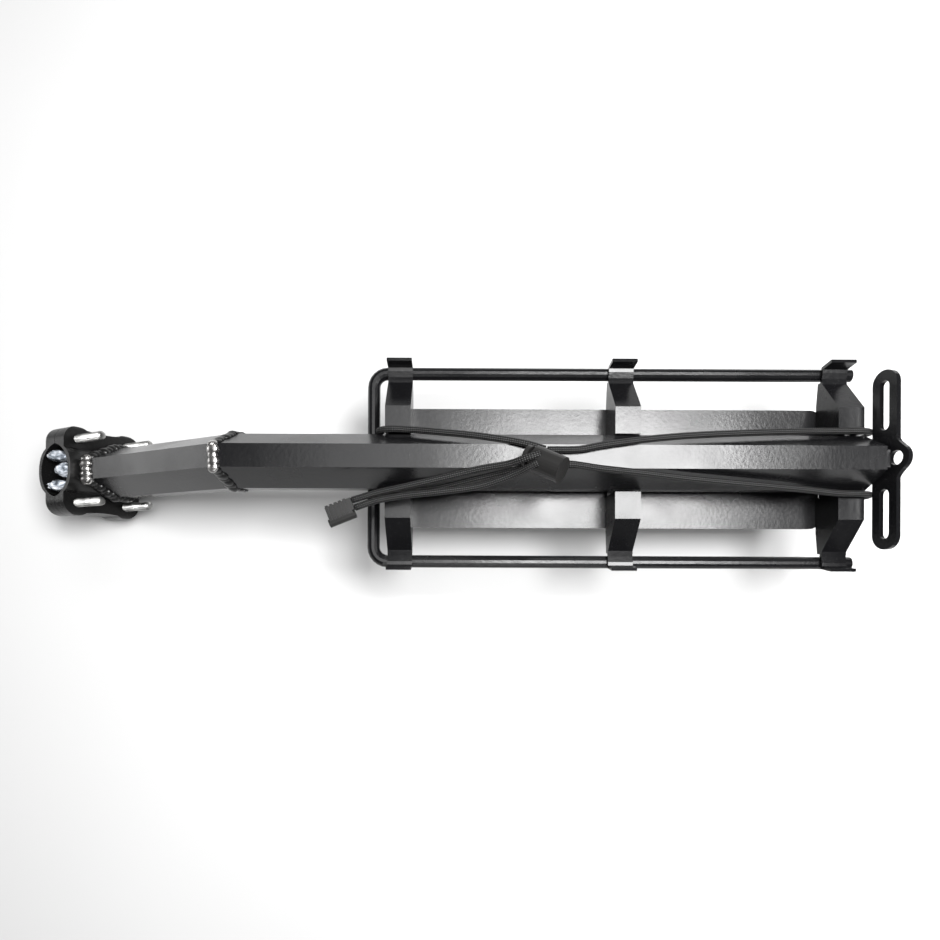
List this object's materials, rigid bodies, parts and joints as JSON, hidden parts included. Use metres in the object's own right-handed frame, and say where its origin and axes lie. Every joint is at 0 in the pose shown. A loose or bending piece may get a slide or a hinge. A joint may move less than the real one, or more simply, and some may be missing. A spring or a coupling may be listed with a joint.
{
  "type": "bicycle seat-post rear rack",
  "caption": "Cycle seat-post rack: bent hollow beam with bolted clamp, deck of plate and rail on cross brackets, slotted light plate and elastic cord with a push lock.",
  "frame": {"origin": "middle of the seat-post clamp's bore", "axes": "+X runs back along the deck; +Z comes out of the rack's underside, so the rack lies deck down; +Y is across"},
  "size_m": [0.5396, 0.1312, 0.142],
  "materials": {
    "black_paint": "gloss black powder coat",
    "cast_black": "satin black paint over a casting",
    "bare_weld": "bare bright weld",
    "liner": "matt black",
    "film": "crumpled clear film",
    "zinc": "bright zinc plate",
    "cord": "black braid with light flecks",
    "dark_plastic": "satin dark grey"
  },
  "bodies": {
    "frame": {"front_tube": "black_paint", "main_beam": "black_paint", "side_rail": "black_paint", "bracket_front": "black_paint", "bracket_middle": "black_paint", "bracket_rear": "black_paint", "deck_plate": "black_paint", "tail_plate": "black_paint", "beam_end_plug": "black_paint", "clamp_back_half": "cast_black", "mitre_weld": "bare_weld", "clamp_weld": "bare_weld", "liner_back": "liner", "film_shim_upper": "film", "film_shim_middle": "film", "film_shim_lower": "film", "lock_spring": "zinc", "elastic_loop_rear": "cord", "elastic_loop_front": "cord", "cord_tail_1": "cord", "cord_tail_2": "cord", "lock_barrel": "dark_plastic", "cord_end": "dark_plastic"},
    "jaw": {"clamp_jaw": "cast_black", "liner_front": "liner", "clamp_washer_1": "zinc", "clamp_washer_2": "zinc", "clamp_washer_3": "zinc", "clamp_washer_4": "zinc"},
    "lock_button": {"lock_button": "dark_plastic"},
    "clamp_bolt_1": {"clamp_bolt_1": "zinc"},
    "clamp_bolt_2": {"clamp_bolt_2": "zinc"},
    "clamp_bolt_3": {"clamp_bolt_3": "zinc"},
    "clamp_bolt_4": {"clamp_bolt_4": "zinc"}
  },
  "joints": [
    {"name": "jaw_slide", "type": "slide", "parent": "frame", "child": "jaw", "axis": [-0.8829, 0, -0.4695], "range_m": [0, 0.006]},
    {"name": "bolt_1_turn", "type": "hinge", "parent": "jaw", "child": "clamp_bolt_1", "pos_m": [-0.00822, 0.0214, 0.01545], "axis": [0.8829, 0, 0.4695], "range_deg": [-2160, 0]},
    {"name": "bolt_2_turn", "type": "hinge", "parent": "jaw", "child": "clamp_bolt_2", "pos_m": [-0.00822, -0.0214, 0.01545], "axis": [0.8829, 0, 0.4695], "range_deg": [-2160, 0]},
    {"name": "bolt_3_turn", "type": "hinge", "parent": "jaw", "child": "clamp_bolt_3", "pos_m": [0.00822, 0.0214, -0.01545], "axis": [0.8829, 0, 0.4695], "range_deg": [-2160, 0]},
    {"name": "bolt_4_turn", "type": "hinge", "parent": "jaw", "child": "clamp_bolt_4", "pos_m": [0.00822, -0.0214, -0.01545], "axis": [0.8829, 0, 0.4695], "range_deg": [-2160, 0]},
    {"name": "lock_press", "type": "slide", "parent": "frame", "child": "lock_button", "axis": [0.8002, -0.4255, 0.4226], "range_m": [0, 0.0022], "stiffness_N_per_m": 300, "springref_m": -0.002}
  ],
  "couplings": [
    {"joint": "bolt_1_turn", "follows": "jaw_slide", "rad_per_m": -6283.1},
    {"joint": "bolt_2_turn", "follows": "jaw_slide", "rad_per_m": -6283.1},
    {"joint": "bolt_3_turn", "follows": "jaw_slide", "rad_per_m": -6283.1},
    {"joint": "bolt_4_turn", "follows": "jaw_slide", "rad_per_m": -6283.1}
  ]
}
